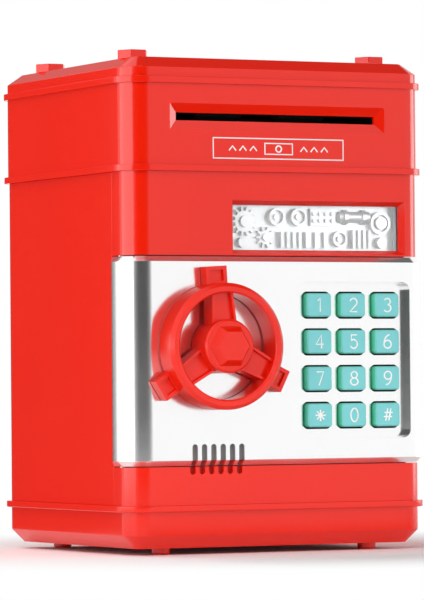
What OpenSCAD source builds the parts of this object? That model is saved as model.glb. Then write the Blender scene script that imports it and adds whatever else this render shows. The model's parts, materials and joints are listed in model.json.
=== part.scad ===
// Toy cash machine savings bank: base with battery bay, two-part body with a vault, head with a bill
// feed and a coin slot, and a swinging door with a handwheel lock and a keypad.
// Millimetres. X runs to the right, Y to the rear and Z up, and the feet stand on z = 0.

/* [Body] */
// Width over the body's walls
body_w = 128; // [124:1:134]
// Depth over the body's walls
body_d = 118; // [116:1:126]
// Height of the body between base and head
body_h = 127.5; // [126:0.5:134]
// Thickness of the shells
wall = 2; // [1.8:0.1:2.2]
// Radius of the standing corners of the walls
corner_r = 8.6; // [7:0.1:9]
// How far the rims and the door stand out from the walls
rim_out = 2; // [1.6:0.1:2.2]
// Height of a rim
rim_h = 2.5; // [2:0.1:3]
// Height of the vault's floor above the body's lower edge
floor_up = 2.5; // [2.5:0.1:4]

/* [Base] */
// Height of the base tray with its rim
base_h = 16.5; // [16:0.5:20]
// Bevel along the base's lower edge
base_bevel = 5; // [3:0.5:6]
// Height of a foot
foot_h = 2.6; // [1.5:0.1:4]
// Radius of a foot
foot_r = 3.6; // [3:0.1:5]
// Distance of the feet from the middle, sideways
foot_x = 45; // [42:1:48]
// Distance of the feet from the middle, front to rear
foot_y = 45; // [43:1:47]
// Distance of the base screws from the middle, sideways
base_screw_x = 53; // [51:0.5:54]
// Distance of the base screws from the middle, front to rear
base_screw_y = 33; // [30:1:35]

/* [Batteries] */
// Radius of a cell
cell_r = 7.1; // [7:0.05:7.2]
// Length of a cell with its nub
cell_l = 50.5; // [49.5:0.1:50.5]
// Number of cells
cell_count = 3; // [2:1:3]
// Middle of the battery bay, front to rear
bay_y = 8; // [0:1:10]

/* [Head] */
// Height of the head without its bosses
head_h = 43.9; // [42:0.1:48]
// How far the head's walls stand out from the body's walls
head_out = 0.5; // [0.3:0.1:1]
// Height of the upper rib above the head's lower edge
rib_up = 33.6; // [30:0.1:34]
// Height of the bevel along the top edge
top_bevel = 4.2; // [3:0.1:5]
// How far the bevel along the top edge reaches in
top_reach = 6; // [4:0.1:6.4]
// Width across the flats of a boss on the top
boss_af = 10.9; // [9:0.1:13]
// Height of a boss
boss_h = 3.5; // [2:0.1:5]
// Distance of the bosses from the middle, sideways
boss_x = 52; // [48:0.5:52]
// Distance of the bosses from the middle, front to rear
boss_y = 38; // [36:0.5:42]

/* [Bill slot and coin slot] */
// Width of the bill slot
slot_w = 86.5; // [80:0.5:87]
// Height of the bill slot
slot_h = 3; // [2.5:0.1:4]
// Slope around the bill slot
slot_slope = 3.5; // [2.5:0.1:4]
// Depth of the sloping surround
slot_deep = 2; // [1.5:0.1:2.5]
// Height of the bill slot above the head's lower edge
slot_up = 21; // [20:0.5:22]
// Length of the coin slot
coin_w = 32; // [28:1:36]
// Width of the coin slot
coin_t = 4.6; // [4.4:0.1:5]
// Place of the coin slot, front to rear
coin_y = 18; // [17:0.5:20]

/* [Window] */
// Width of the clear window
window_w = 72.4; // [60:0.5:74]
// Height of the clear window
window_h = 17.3; // [14:0.1:18]
// Middle of the window, sideways
window_x = 17.9; // [14:0.1:19]
// Slope of the window's surround
window_slope = 1.7; // [1.2:0.1:1.9]
// Depth of the window's surround
window_deep = 3; // [2.5:0.1:3.5]

/* [Door] */
// Height of the door
door_h = 80; // [79:0.5:82]
// Height of the door's lower edge above the body's lower edge
door_up = 15; // [14:0.5:17]
// Depth of the door from its face to the seam of the body
door_d = 17.5; // [17:0.1:18.5]
// Bevel along the door's top and bottom
door_bevel = 2; // [1.2:0.1:2]
// Thickness of the liner on the door's back
liner_t = 2; // [1.6:0.1:2]
// Radius of the rounded hinge edge
knuckle_r = 3.8; // [3.5:0.1:4.2]
// Radius of a hinge pin
hinge_pin_r = 1; // [0.8:0.05:1.1]
// Width of the opening in the jamb behind the door
jamb_w = 104; // [100:0.5:105]
// Height of the opening in the jamb behind the door
jamb_h = 68; // [64:0.5:70]

/* [Keypad] */
// Middle of the keypad, sideways
pad_x = 32; // [30:0.5:34]
// Width of the keypad's pocket
pad_w = 49; // [47:0.5:52]
// Height of the keypad's pocket
pad_h = 60.7; // [58:0.1:62]
// Depth of the keypad's pocket
pad_deep = 4; // [3.5:0.1:6.4]
// Width of a key
key_w = 10.8; // [9:0.1:11]
// Height of a key
key_h = 9.2; // [8:0.1:10]
// Distance between keys, sideways
key_step_x = 15; // [14.5:0.1:15.5]
// Distance between keys, up and down
key_step_z = 14.25; // [14:0.05:14.6]
// Gap around a key in its hole
key_gap = 0.7; // [0.5:0.05:1]
// How far the faces of the keys lie behind the door's face
key_low = 1; // [0.5:0.1:2.4]
// Travel of a key
key_travel = 1.5; // [1:0.1:1.6]

/* [Sound slots] */
// Number of sound slots
vent_count = 6; // [4:1:7]
// Distance between sound slots
vent_step = 4; // [3.6:0.05:4.2]
// Width of a sound slot
vent_w = 2.3; // [1.8:0.1:2.4]
// Height of the sound slots on the door
vent_h = 8.2; // [6:0.1:10]
// Height of the sound slots on the frame below the door
vent_drop = 3; // [2:0.1:4]
// Radius of the speaker
speaker_r = 10; // [9:0.5:10.5]

/* [Handwheel] */
// Middle of the handwheel, sideways
wheel_x = -29; // [-30:0.5:-27]
// Outer radius of the ring
ring_r = 24.2; // [22:0.1:26]
// Radial width of the ring
ring_w = 3.8; // [3.5:0.1:5]
// Depth of the ring
ring_d = 11.1; // [9:0.1:11.5]
// Radius to the ends of the lugs
lug_r = 30.7; // [29:0.1:31]
// Width of the lugs
lug_w = 8.8; // [7:0.1:9]
// Width of a spoke at the hub
spoke_w = 10.4; // [9:0.1:11]
// Radius of the hub
hub_r = 10.3; // [10:0.1:12]
// Turn of the spokes from upright
spoke_turn = 3.5; // [0:0.5:10]
// Radius of the wheel's shaft
shaft_r = 3; // [2.5:0.1:3.2]

/* [Lock bolt] */
// Teeth of the bolt's pinion
pinion_teeth = 12; // [12:1:13]
// Tooth module of the pinion and the bolt
rack_m = 1; // [0.9:0.05:1]
// Height of the bolt's bar
bolt_h = 6.2; // [5:0.1:7]
// Thickness of the bolt's bar
bolt_t = 3; // [2.5:0.1:3.2]
// Turn of the wheel that throws the bolt, in degrees
throw_turn = 90; // [80:5:90]
// Radius of the solenoid's plunger
plunger_r = 2; // [1.5:0.1:2.2]

/* [Bill feed] */
// Radius of the feed rollers
roller_r = 6; // [5.5:0.1:6.2]
// Radius of the roller shafts
roller_shaft_r = 2; // [1.5:0.1:2.2]
// Place of the rollers, front to rear
roller_y = -40; // [-41:0.5:-38]
// Teeth of the roller gears
feed_teeth = 16; // [16:2:18]
// Teeth of the motor's pinion
motor_teeth = 10; // [10:1:12]
// Radius of the motor
motor_r = 5.5; // [5:0.1:5.6]

/* [Clearances] */
// Gap between parts that move past each other
gap = 0.3; // [0.3:0.05:0.4]
// Gap of a shaft in its bearing, on the radius
run_gap = 0.05; // [0.03:0.01:0.08]
// Gap between the door and the bands above and below it
door_gap = 0.4; // [0.3:0.05:0.6]

/* [Hidden] */
KEYS = ["key_1", "key_2", "key_3", "key_4", "key_5", "key_6", "key_7", "key_8", "key_9", "key_star",
        "key_0", "key_hash"];
$fn = 64;
cut = 1;

red = "#e8362a";
silver = "#d9dbdd";
teal = "#5fb9c4";
black = "#26282b";
steel = "#b9bcc0";
white = "#eceeee";
brass = "#c9a552";
green = "#2f7d4f";

// Heights of the main joints
z_base = foot_h;
z_body = z_base + base_h;
z_head = z_body + body_h;
z_top = z_head + head_h;

// Front faces of the red walls and of the door
y_wall = -body_d / 2;
y_face = y_wall - rim_out;

// Rims share one outline, which the door's face follows
rim_r = corner_r + rim_out;
rim_w = body_w + 2 * rim_out;
rim_d = body_d + 2 * rim_out;
inner_w = body_w - 2 * wall;
inner_d = body_d - 2 * wall;
inner_r = corner_r - wall;

// Door, its hinge and the plates behind it
door_z0 = z_body + door_up;
door_z1 = door_z0 + door_h;
door_mid = door_z0 + door_h / 2;
band_low = door_z0 - door_gap;
band_high = door_z1 + door_gap;
shelf_t = 1.6;
seam_y = y_face + door_d;
door_back = seam_y - gap;
hinge_x = -(rim_w / 2 - knuckle_r);
hinge_y = door_back - knuckle_r;
pin_grip = 8;
ear_h = 6;
liner_y1 = door_back - 0.2;
liner_y0 = liner_y1 - liner_t;
jamb_t = 2;
jamb_y0 = seam_y + 0.1;
jamb_y1 = jamb_y0 + jamb_t;
strike_t = 0.8;

// Deck between vault and head
deck_t = 2;
deck_z = z_head - deck_t;
ledge = 2.2;
head_w = body_w + 2 * head_out;
head_d = body_d + 2 * head_out;
head_r = corner_r + head_out;
lug_in = 6.8;
lug_h = 10;
lug_boss_r = 4;
lug_rib = 2.4;
lug_x = head_w / 2 - wall - lug_in;
lug_y = head_d / 2 - wall - lug_in;
slot_z = z_head + slot_up;

// Battery bay
contact_t = 0.5;
spring_l = 3;
cell_step = 2 * cell_r + 0.6;
bay_l = cell_l + 2 * contact_t + spring_l;
bay_w = cell_count * cell_step + 0.6;
bay_wall = 1.4;
bay_roof = z_base + wall + 2 * cell_r + 0.5;
cell_z = z_base + wall + 0.2 + cell_r;
hatch_t = 1.2;
hatch_lip = 3;
hatch_ear = 11;
hatch_screw_x = bay_l / 2 + hatch_ear - 4.5;
hatch_post = wall + 8;
screw_r = 1.4;
screw_head_r = 2.7;
screw_head_h = 1.6;
screw_post_r = 4;
recess_w = 2.6;
recess_t = 0.6;
foot_bevel = 0.6;
plate_w = 8;
nub_l = 1;
nub_r = 2.7;
spring_r = 3.5;

// Window
window_z = band_high + shelf_t + 0.7 + window_h / 2;
pane_t = 1.5;
pane_edge = 1.5;
pane_y = y_wall + window_deep;
relief_up = 2.8;
relief_y = pane_y + pane_t + relief_up + 0.4;
relief_t = 1.2;
frame_edge = 1.5;
window_top = window_z + window_h / 2 + pane_edge;

// Keypad
pad_z = door_mid;
pad_r = 3.3;
pad_floor_t = 2;
key_r = 1.3;
key_bevel = 0.5;
pad_floor_y = y_face + pad_deep;
key_flange_t = 1;
key_flange = key_gap + 0.8;
key_seat = 0.2;
key_back = pad_floor_y + pad_floor_t + key_seat + key_flange_t;
mat_t = 0.8;
mat_edge = 0.5;
dome_h = key_travel + 0.9;
dome_r = 4.4;
dome_top_r = 2.6;
mat_y = key_back + key_seat + dome_h;
board_t = 1.6;
post_r = 2.5;
post_in = 4;

// Handwheel and lock
wheel_z = door_mid + 5.4;
bush_wall = 2;
bush_flange_t = 0.8;
bush_l = 11;
wheel_gap = 0.4;
wheel_back = y_face - wheel_gap;
flange_room = bush_flange_t + gap - wheel_gap;
ring_bevel = 1.4;
ring_edge = 0.6;
spoke_low = 2.2;
spoke_up = 1.5;
spoke_taper = 0.8;
spoke_rim = 1;
channel_deep = 1.6;
lug_low = 6.2;
lug_rim = 1.5;
lug_deep = 1.3;
shaft_grip = 7;
clip_t = 0.8;
bush_r = shaft_r + bush_wall;
bush_end = y_face + bush_l;
speaker_x = wheel_x + 1.1;
speaker_t = 5;
speaker_collar = 1.4;
speaker_lip = 3;
vent_in = wall + speaker_lip;
cone_deep = 2.5;
speaker_z = door_z0 + wall + speaker_collar + 0.2 + speaker_r;
liner_screw_l = 7;
liner_screw_head = 1.2;
liner_screw_in = 8;
liner_post_r = 3.2;
pinion_r = rack_m * pinion_teeth / 2;
throw = pinion_r * throw_turn * PI / 180;
bolt_y0 = jamb_y1 + strike_t + 0.4;
bolt_y1 = bolt_y0 + bolt_t;
rack_add = 0.8 * rack_m;
rack_ded = 1.25 * rack_m;
rack_play = 0.24;
bolt_top = wheel_z - pinion_r - rack_ded;
bolt_z0 = bolt_top - bolt_h;
bolt_tip = jamb_w / 2 - 1;
bolt_tail = wheel_x - 7.5 - throw;
guide_x = [-9, 37];
guide_w = 8;
guide_wall = 2;
guide_back = 1.5;
slide_gap = 0.2;
plunger_x = 20;
plunger_y = (bolt_y0 + bolt_y1) / 2;
plunger_lift = 3;
coil_w = 14;
coil_l = 18.2;
coil_gap = 0.8;
coil_z0 = bolt_z0 - coil_gap - coil_l;
coil_floor = 2;

// Bill feed
nip = 0.3;
roller_step = 2 * roller_r + nip;
drive_z = slot_z - roller_step / 2;
pinch_z = slot_z + roller_step / 2;
feed_m = roller_step / feed_teeth;
feed_play = 0.2;
motor_step = feed_m * (feed_teeth + motor_teeth) / 2;
motor_angle = -360 / feed_teeth;
motor_y = roller_y + motor_step * cos(motor_angle);
motor_z = drive_z + motor_step * sin(motor_angle);
bracket_x = slot_w / 2 + 3;
bracket_t = 2;
bracket_lip = 3;
bracket_foot = 1.5;
bracket_edge = 9;
bracket_front = -lug_y + lug_boss_r + gap;
gear_t = 4;
guide_top = slot_z - slot_h / 2 - 0.1;
guide_t = 1.2;
cheek_t = 1.5;
cheek_up = 4.5;
shaft_end = 1.5;
sensor_w = 8;
sensor_h = 4;
sensor_d = 6;
slot_pad = 1.4;
gear_x = bracket_x + bracket_t + gap;
motor_shaft_r = 1;
motor_l = 14;
sleeve_in = 8;
sleeve_out = bracket_x - motor_l - 4;
chute_wall = 1.5;
chute_gap = 0.2;
chute_w = coin_w + 2 * chute_wall;
chute_d = coin_t + 2 * chute_wall;
chute_lip = 2;
drop_w = slot_w + 2;
drop_y0 = -7;
drop_y1 = coin_y - chute_d / 2 - 4;
board_w = 70;
board_d = 24;
board_y0 = coin_y + chute_d / 2 + 6;
board_y1 = board_y0 + board_d;
board_up = 3.5;
board_post_r = 2.5;
board_post_in = 4;

// The origin lies under the middle of the whole outline, wheel included
hub_nose = 3.7;
hub_hex = 8.75;
hub_taper = 2.5;
hub_up = 0.5;
hub_bevel = 0.8;
wheel_nose = wheel_back - ring_d - hub_up - hub_bevel - hub_nose;
origin_shift = -(wheel_nose + rim_d / 2) / 2;

module in_place() {
    translate([0, origin_shift, 0])
        children();
}

// Outlines and blocks shared by the pieces

module round_rect(w, d, r) {
    square([w - 2 * r, d], center = true);
    square([w, d - 2 * r], center = true);
    for (x = [-1, 1], y = [-1, 1])
        translate([x * (w / 2 - r), y * (d / 2 - r)])
            circle(r);
}

module slab(w, d, r, z0, z1) {
    translate([0, 0, z0])
        linear_extrude(z1 - z0)
            round_rect(w, d, r);
}

// Right-hand edge of a bevelled outline, from the bottom up, and the whole outline
function flank(half, h, low, high, reach) = [
    each low > 0 ? [[half - low, 0], [half, low]] : [[half, 0]],
    each high > 0 ? [[half, h - high], [half - reach, h]] : [[half, h]]];
function bevel_outline(half, h, low, high, reach) =
    let (right = flank(half, h, low, high, reach))
    [each right, for (i = [len(right) - 1:-1:0]) [-right[i][0], right[i][1]]];

// Block with round standing corners, a 45 degree bevel along its lower edge and one along its upper
// edge that reaches in by its own length
module bevel_slab(w, d, r, z0, z1, low, high, reach = 0) {
    h = z1 - z0;
    translate([0, 0, z0]) {
        for (x = [-1, 1], y = [-1, 1])
            translate([x * (w / 2 - r), y * (d / 2 - r), 0])
                rotate_extrude()
                    polygon([[0, 0], each flank(r, h, low, high, reach), [0, h]]);
        rotate([90, 0, 90])
            linear_extrude(w - 2 * r, center = true)
                polygon(bevel_outline(d / 2, h, low, high, reach));
        rotate([90, 0, 0])
            linear_extrude(d - 2 * r, center = true)
                polygon(bevel_outline(w / 2, h, low, high, reach));
    }
}

module block(x0, x1, y0, y1, z0, z1) {
    translate([x0, y0, z0])
        cube([x1 - x0, y1 - y0, z1 - z0]);
}

// Outline in X and Z, drawn out along Y
module along_y(y0, y1) {
    translate([0, y1, 0])
        rotate([90, 0, 0])
            linear_extrude(y1 - y0)
                children();
}

// Outline in Y and Z, drawn out along X
module along_x(x0, x1) {
    translate([x0, 0, 0])
        rotate([90, 0, 90])
            linear_extrude(x1 - x0)
                children();
}

module x_rod(x0, x1, y, z, r) {
    translate([x0, y, z])
        rotate([0, 90, 0])
            cylinder(h = x1 - x0, r = r);
}

module y_rod(x, y0, y1, z, r) {
    translate([x, y0, z])
        rotate([-90, 0, 0])
            cylinder(h = y1 - y0, r = r);
}

module z_rod(x, y, z0, z1, r) {
    translate([x, y, z0])
        cylinder(h = z1 - z0, r = r);
}

// Opening that narrows from the front face inwards, seen from the front
module slope_cut(x, z, w, h, slope, y0, deep) {
    wide = w / 2 + slope * (1 + cut / deep);
    tall = h / 2 + slope * (1 + cut / deep);
    intersection() {
        along_x(x - wide, x + wide)
            polygon([[y0 - cut, z - tall], [y0 - cut, z + tall],
                     [y0 + deep, z + h / 2], [y0 + deep, z - h / 2]]);
        translate([0, 0, z - tall])
            linear_extrude(2 * tall)
                polygon([[x - wide, y0 - cut], [x + wide, y0 - cut],
                         [x + w / 2, y0 + deep], [x - w / 2, y0 + deep]]);
    }
}

// Four places mirrored about the middle
module corners(x, y) {
    for (sx = [-1, 1], sy = [-1, 1])
        translate([sx * x, sy * y, 0])
            children();
}

// Involute gear outline with a tooth on the first axis
pressure = 20;
function involute(a) = tan(a) * 180 / PI - a;
function tooth_half(teeth, m, play, r) =
    let (pitch_r = m * teeth / 2, base_r = pitch_r * cos(pressure))
    90 / teeth - play / (2 * pitch_r) * 180 / PI + involute(pressure)
    - (r > base_r ? involute(acos(base_r / r)) : 0);
function gear_radii(teeth, m) =
    let (pitch_r = m * teeth / 2, root_r = pitch_r - 1.25 * m, tip_r = pitch_r + 0.8 * m)
    [root_r, for (i = [0:4]) max(root_r + 0.01, pitch_r * cos(pressure)) * (1 - i / 4) + tip_r * i / 4];
function spot(r, a) = [r * cos(a), r * sin(a)];

module gear_outline(teeth, m, play) {
    radii = gear_radii(teeth, m);
    last = len(radii) - 1;
    polygon([for (t = [0:teeth - 1]) each [
        for (i = [0:last]) spot(radii[i], t * 360 / teeth - tooth_half(teeth, m, play, radii[i])),
        for (i = [last:-1:0]) spot(radii[i], t * 360 / teeth + tooth_half(teeth, m, play, radii[i]))]]);
}

// Base

module base_tray() {
    color(red)
        difference() {
            union() {
                difference() {
                    union() {
                        bevel_slab(body_w, body_d, corner_r, z_base, z_body, base_bevel, 0);
                        slab(rim_w, rim_d, rim_r, z_body - rim_h, z_body);
                    }
                    bevel_slab(inner_w, inner_d, inner_r, z_base + wall, z_body + cut, base_bevel - 1, 0);
                }
                corners(base_screw_x, base_screw_y)
                    z_rod(0, 0, z_base + wall / 2, z_body + floor_up, screw_post_r);
                z_rod(hatch_screw_x, bay_y, z_base + wall / 2, z_base + hatch_post, screw_post_r - 1);
            }
            corners(base_screw_x, base_screw_y) {
                z_rod(0, 0, z_base - cut, z_body + floor_up + cut, screw_r);
                z_rod(0, 0, z_base - cut, z_base + screw_head_h, screw_head_r);
            }
            translate([0, bay_y, z_base + wall / 2])
                cube([bay_l, bay_w, 2 * wall], center = true);
            block(-bay_l / 2 - hatch_lip, bay_l / 2 + hatch_ear, bay_y - bay_w / 2 - hatch_lip,
                  bay_y + bay_w / 2 + hatch_lip, z_base - cut, z_base + hatch_t);
            z_rod(hatch_screw_x, bay_y, z_base, z_base + hatch_post - 1, screw_r);
        }
}

module feet() {
    color(red)
        corners(foot_x, foot_y) {
            cylinder(h = foot_bevel, r1 = foot_r - foot_bevel, r2 = foot_r);
            z_rod(0, 0, foot_bevel, foot_h, foot_r);
        }
}

module battery_box() {
    color(black)
        translate([0, bay_y, 0])
            difference() {
                block(-bay_l / 2 - bay_wall, bay_l / 2 + bay_wall, -bay_w / 2 - bay_wall,
                      bay_w / 2 + bay_wall, z_base + wall, bay_roof + bay_wall);
                block(-bay_l / 2, bay_l / 2, -bay_w / 2, bay_w / 2, z_base, bay_roof);
            }
}

// Every second cell lies the other way round
module each_cell() {
    for (i = [0:cell_count - 1])
        translate([0, bay_y + (i - (cell_count - 1) / 2) * cell_step, cell_z])
            rotate([0, 0, 180 * (i % 2)])
                children();
}

module battery_contacts() {
    half = plate_w / 2;
    color(steel)
        each_cell() {
            block(bay_l / 2 - contact_t, bay_l / 2, -half, half, -half, half);
            block(-bay_l / 2, -bay_l / 2 + contact_t, -half, half, -half, half);
            translate([-bay_l / 2 + contact_t, 0, 0])
                rotate([0, 90, 0])
                    cylinder(h = spring_l, r1 = spring_r, r2 = spring_r - 1.5);
        }
}

module battery_cells() {
    color(brass)
        each_cell()
            translate([bay_l / 2 - contact_t - cell_l, 0, 0]) {
                x_rod(0, cell_l - nub_l, 0, 0, cell_r);
                x_rod(cell_l - nub_l, cell_l, 0, 0, nub_r);
            }
}

module battery_door() {
    color(red)
        difference() {
            block(-bay_l / 2 - hatch_lip + gap, bay_l / 2 + hatch_ear - gap,
                  bay_y - bay_w / 2 - hatch_lip + gap, bay_y + bay_w / 2 + hatch_lip - gap,
                  z_base, z_base + hatch_t);
            z_rod(hatch_screw_x, bay_y, z_base - cut, z_base + wall, screw_r);
            z_rod(hatch_screw_x, bay_y, z_base - cut, z_base + hatch_t / 2, screw_head_r);
        }
}

module screw(length, head_r, head_h) {
    difference() {
        union() {
            cylinder(h = head_h, r = head_r);
            cylinder(h = head_h + length, r = screw_r);
        }
        for (turn = [0, 90])
            rotate(turn)
                cube([recess_w, recess_t, head_h], center = true);
    }
}

module battery_screw() {
    color(steel)
        translate([hatch_screw_x, bay_y, z_base])
            screw(hatch_post - 3.5, screw_head_r - 0.2, hatch_t / 2);
}

module base_screws() {
    color(steel)
        corners(base_screw_x, base_screw_y)
            translate([0, 0, z_base])
                screw(base_h + floor_up + wall + 3 - screw_head_h, screw_head_r - 0.2, screw_head_h);
}

// Body

// Ring of wall with the body's outline
module body_ring(z0, z1) {
    difference() {
        slab(body_w, body_d, corner_r, z0, z1);
        slab(inner_w, inner_d, inner_r, z0 - cut, z1 + cut);
    }
}

// Ledge inside the top of the walls that carries the deck
module deck_ledge() {
    difference() {
        slab(inner_w + wall, inner_d + wall, inner_r, deck_z - ledge, deck_z);
        slab(inner_w - 2 * ledge, inner_d - 2 * ledge, inner_r, deck_z - ledge - cut, deck_z + cut);
    }
}

module behind_seam() {
    intersection() {
        children();
        block(-body_w, body_w, seam_y, body_d, 0, z_top);
    }
}

module before_seam() {
    intersection() {
        children();
        block(-body_w, body_w, -body_d, seam_y, 0, z_top);
    }
}

module rear_shell() {
    floor_z = z_body + floor_up;
    floor_front = jamb_y1 + gap;
    boss_top = floor_z + wall + 5;
    color(red)
        difference() {
            union() {
                behind_seam() {
                    body_ring(z_body, z_head);
                    deck_ledge();
                }
                intersection() {
                    slab(inner_w + wall, inner_d + wall, inner_r, floor_z, floor_z + wall);
                    block(-body_w, body_w, floor_front, body_d, 0, z_top);
                }
                corners(base_screw_x, base_screw_y)
                    z_rod(0, 0, floor_z, boss_top, screw_post_r - 0.5);
            }
            corners(base_screw_x, base_screw_y)
                z_rod(0, 0, floor_z - cut, boss_top - 1, screw_r);
            block(-inner_w / 2 - cut, inner_w / 2 + cut, seam_y - cut, jamb_y1 + gap,
                  deck_z - ledge - cut, deck_z);
        }
}

// Ear with a bore for a hinge pin, kept inside the body's outline
module hinge_ear(z0, z1) {
    intersection() {
        union() {
            z_rod(hinge_x, hinge_y, z0, z1, knuckle_r);
            block(hinge_x - knuckle_r, hinge_x + 1, y_wall, hinge_y, z0, z1);
        }
        slab(body_w, body_d, corner_r, z0, z1);
    }
}

// Room behind the window, which the ledge and the deck leave free
module window_room() {
    half = window_w / 2 + pane_edge + gap;
    block(window_x - half, window_x + half, pane_y, relief_y + relief_t + gap,
          band_high + shelf_t, window_top + gap);
}

// Keeps what stands behind the window inside the walls and clear of the head's screws
module within_walls() {
    difference() {
        intersection() {
            children();
            slab(inner_w - 2 * gap, inner_d - 2 * gap, inner_r - gap, z_body, z_top);
        }
        corners(lug_x, lug_y)
            z_rod(0, 0, deck_z - screw_head_h - gap, z_top, screw_head_r + gap);
    }
}

module front_frame() {
    half_w = window_w / 2 + window_slope + frame_edge;
    half_jamb = inner_w / 2 - gap;
    color(red)
        difference() {
            union() {
                before_seam() {
                    body_ring(z_body, band_low);
                    body_ring(band_high, z_head);
                    difference() {
                        deck_ledge();
                        window_room();
                    }
                    slab(inner_w + wall, inner_d + wall, inner_r, band_low - shelf_t, band_low);
                    slab(inner_w + wall, inner_d + wall, inner_r, band_high, band_high + shelf_t);
                    intersection() {
                        block(window_x - half_w, window_x + half_w, y_wall + wall / 2, pane_y,
                              band_high + shelf_t / 2, window_z + window_h / 2 + window_slope + frame_edge);
                        slab(body_w, body_d, corner_r, z_body, z_head);
                    }
                }
                block(-half_jamb, half_jamb, seam_y - cut, jamb_y1, band_low - shelf_t, band_low);
                block(-half_jamb, half_jamb, seam_y - cut, jamb_y1, band_high, band_high + shelf_t);
                block(-half_jamb, half_jamb, jamb_y0, jamb_y1, z_body + floor_up, deck_z);
                hinge_ear(band_low - ear_h, band_low);
                hinge_ear(band_high, band_high + ear_h);
            }
            block(-jamb_w / 2, jamb_w / 2, jamb_y0 - cut, jamb_y1 + cut,
                  door_mid - jamb_h / 2, door_mid + jamb_h / 2);
            slope_cut(window_x, window_z, window_w, window_h, window_slope, y_wall, window_deep);
            block(window_x - window_w / 2, window_x + window_w / 2, y_wall, pane_y + cut,
                  window_z - window_h / 2, window_z + window_h / 2);
            each_vent()
                along_y(y_wall - cut, y_wall + wall + cut)
                    vent_outline(band_low + cut, band_low - vent_drop);
            z_rod(hinge_x, hinge_y, band_low - ear_h - cut, band_low + cut, hinge_pin_r + run_gap);
            z_rod(hinge_x, hinge_y, band_high - cut, band_high + ear_h + cut, hinge_pin_r + run_gap);
        }
}

module each_vent() {
    for (i = [0:vent_count - 1])
        translate([speaker_x + (i - (vent_count - 1) / 2) * vent_step, 0, 0])
            children();
}

// Sound slot with a square end at one height and a round end at the other
module vent_outline(square_z, round_z) {
    r = vent_w / 2;
    middle = round_z + (square_z > round_z ? r : -r);
    translate([-r, min(square_z, middle)])
        square([vent_w, abs(square_z - middle)]);
    translate([0, middle])
        circle(r);
}

module strike_plate() {
    strike_h = 2.4 * bolt_h;
    color(steel)
        block(jamb_w / 2 + 1, inner_w / 2 - 1, jamb_y1, jamb_y1 + strike_t,
              bolt_z0 + bolt_h / 2 - strike_h / 2, bolt_z0 + bolt_h / 2 + strike_h / 2);
}

module window_pane() {
    color("#dfe8ea80")
        within_walls()
            block(window_x - window_w / 2 - pane_edge, window_x + window_w / 2 + pane_edge,
                  pane_y, pane_y + pane_t, band_high + shelf_t, window_top);
}

// Tray behind the pane with small machine shapes in relief, laid out from left to right on a grid of
// eighths of the window's width and seventeenths of its height
module window_relief() {
    step = window_w / 8;
    unit = window_h / 17;
    color(white)
        within_walls() {
            difference() {
                block(window_x - window_w / 2 - pane_edge, window_x + window_w / 2 + pane_edge,
                      pane_y + pane_t, relief_y + relief_t, band_high + shelf_t, window_top);
                block(window_x - window_w / 2, window_x + window_w / 2, pane_y, relief_y,
                      window_z - window_h / 2, window_z + window_h / 2);
            }
            translate([window_x, 0, window_z]) {
                relief_gear(-3.3 * step, 2.4 * unit, 14, 0.72 * unit);
                relief_gear(-2.3 * step, -3.6 * unit, 10, 0.72 * unit);
                relief_disc(-3.4 * step, -5.6 * unit, 1.9 * unit, 0.7);
                relief_gauge(-1.75 * step, 4.2 * unit, 3.4 * unit);
                relief_fins(-1.6 * step, -0.6 * step, -7.5 * unit, -1.5 * unit, 4);
                relief_gauge(-0.7 * step, 4.2 * unit, 3.4 * unit);
                relief_keys(-0.1 * step, 1.1 * step, unit, 7.5 * unit);
                relief_fins(-0.4 * step, 0.7 * step, -7.5 * unit, -1.5 * unit, 3);
                relief_gauge(1.3 * step, -4 * unit, 3.1 * unit);
                relief_pipe(1.3 * step, 2.8 * step, 4.4 * unit, 2.2 * unit);
                for (x = [1.5, 2.4])
                    relief_pipe(x * step, (x + 0.2) * step, 4.4 * unit, 2.9 * unit);
                relief_fins(1.9 * step, 2.8 * step, -7.5 * unit, -0.5 * unit, 4);
                relief_gauge(3.3 * step, 2.2 * unit, 4.4 * unit);
                relief_disc(3.3 * step, 2.2 * unit, 2.4 * unit, 1);
                relief_disc(3.35 * step, -5.4 * unit, 2.2 * unit, 0.9);
            }
        }
}

// Round boss, whose height is a share of the whole relief
module relief_disc(x, z, r, share) {
    y_rod(x, relief_y - share * relief_up, relief_y + relief_t / 2, z, r);
}

module relief_gear(x, z, teeth, m) {
    translate([x, 0, z])
        along_y(relief_y - 0.6 * relief_up, relief_y + relief_t / 2)
            gear_outline(teeth, m, 0.6 * m);
    relief_disc(x, z, 0.22 * teeth * m, 1);
}

// Dial with a raised rim and a hub
module relief_gauge(x, z, r) {
    difference() {
        relief_disc(x, z, r, 0.8);
        y_rod(x, relief_y - relief_up, relief_y - 0.3 * relief_up, z, 0.75 * r);
    }
    relief_disc(x, z, 0.35 * r, 0.6);
}

// Block with standing fins from left to right
module relief_fins(x0, x1, z0, z1, count) {
    pitch = (x1 - x0) / (count - 0.5);
    block(x0, x1, relief_y - 0.4 * relief_up, relief_y + relief_t / 2, z0, z1);
    for (i = [0:count - 1])
        translate([x0 + i * pitch, 0, 0])
            block(0, pitch / 2, relief_y - 0.9 * relief_up, relief_y, z0, z1);
}

// Block with two rows of small studs
module relief_keys(x0, x1, z0, z1) {
    pitch = (x1 - x0) / 4;
    block(x0, x1, relief_y - 0.5 * relief_up, relief_y + relief_t / 2, z0, z1);
    for (i = [0:3], z = [0.3, 0.7])
        relief_disc(x0 + (i + 0.5) * pitch, z0 + z * (z1 - z0), 0.3 * pitch, 0.8);
}

// Half round pipe lying on the plate
module relief_pipe(x0, x1, z, r) {
    intersection() {
        x_rod(x0, x1, relief_y, z, r);
        block(x0, x1, relief_y - relief_up, relief_y + relief_t / 2, z - r, z + r);
    }
}

// Head

// Repeats a piece of the right rear quarter in all four quarters
module four_quarters() {
    for (mx = [0, 1], my = [0, 1])
        mirror([mx, 0, 0])
            mirror([0, my, 0])
                children();
}

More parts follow.
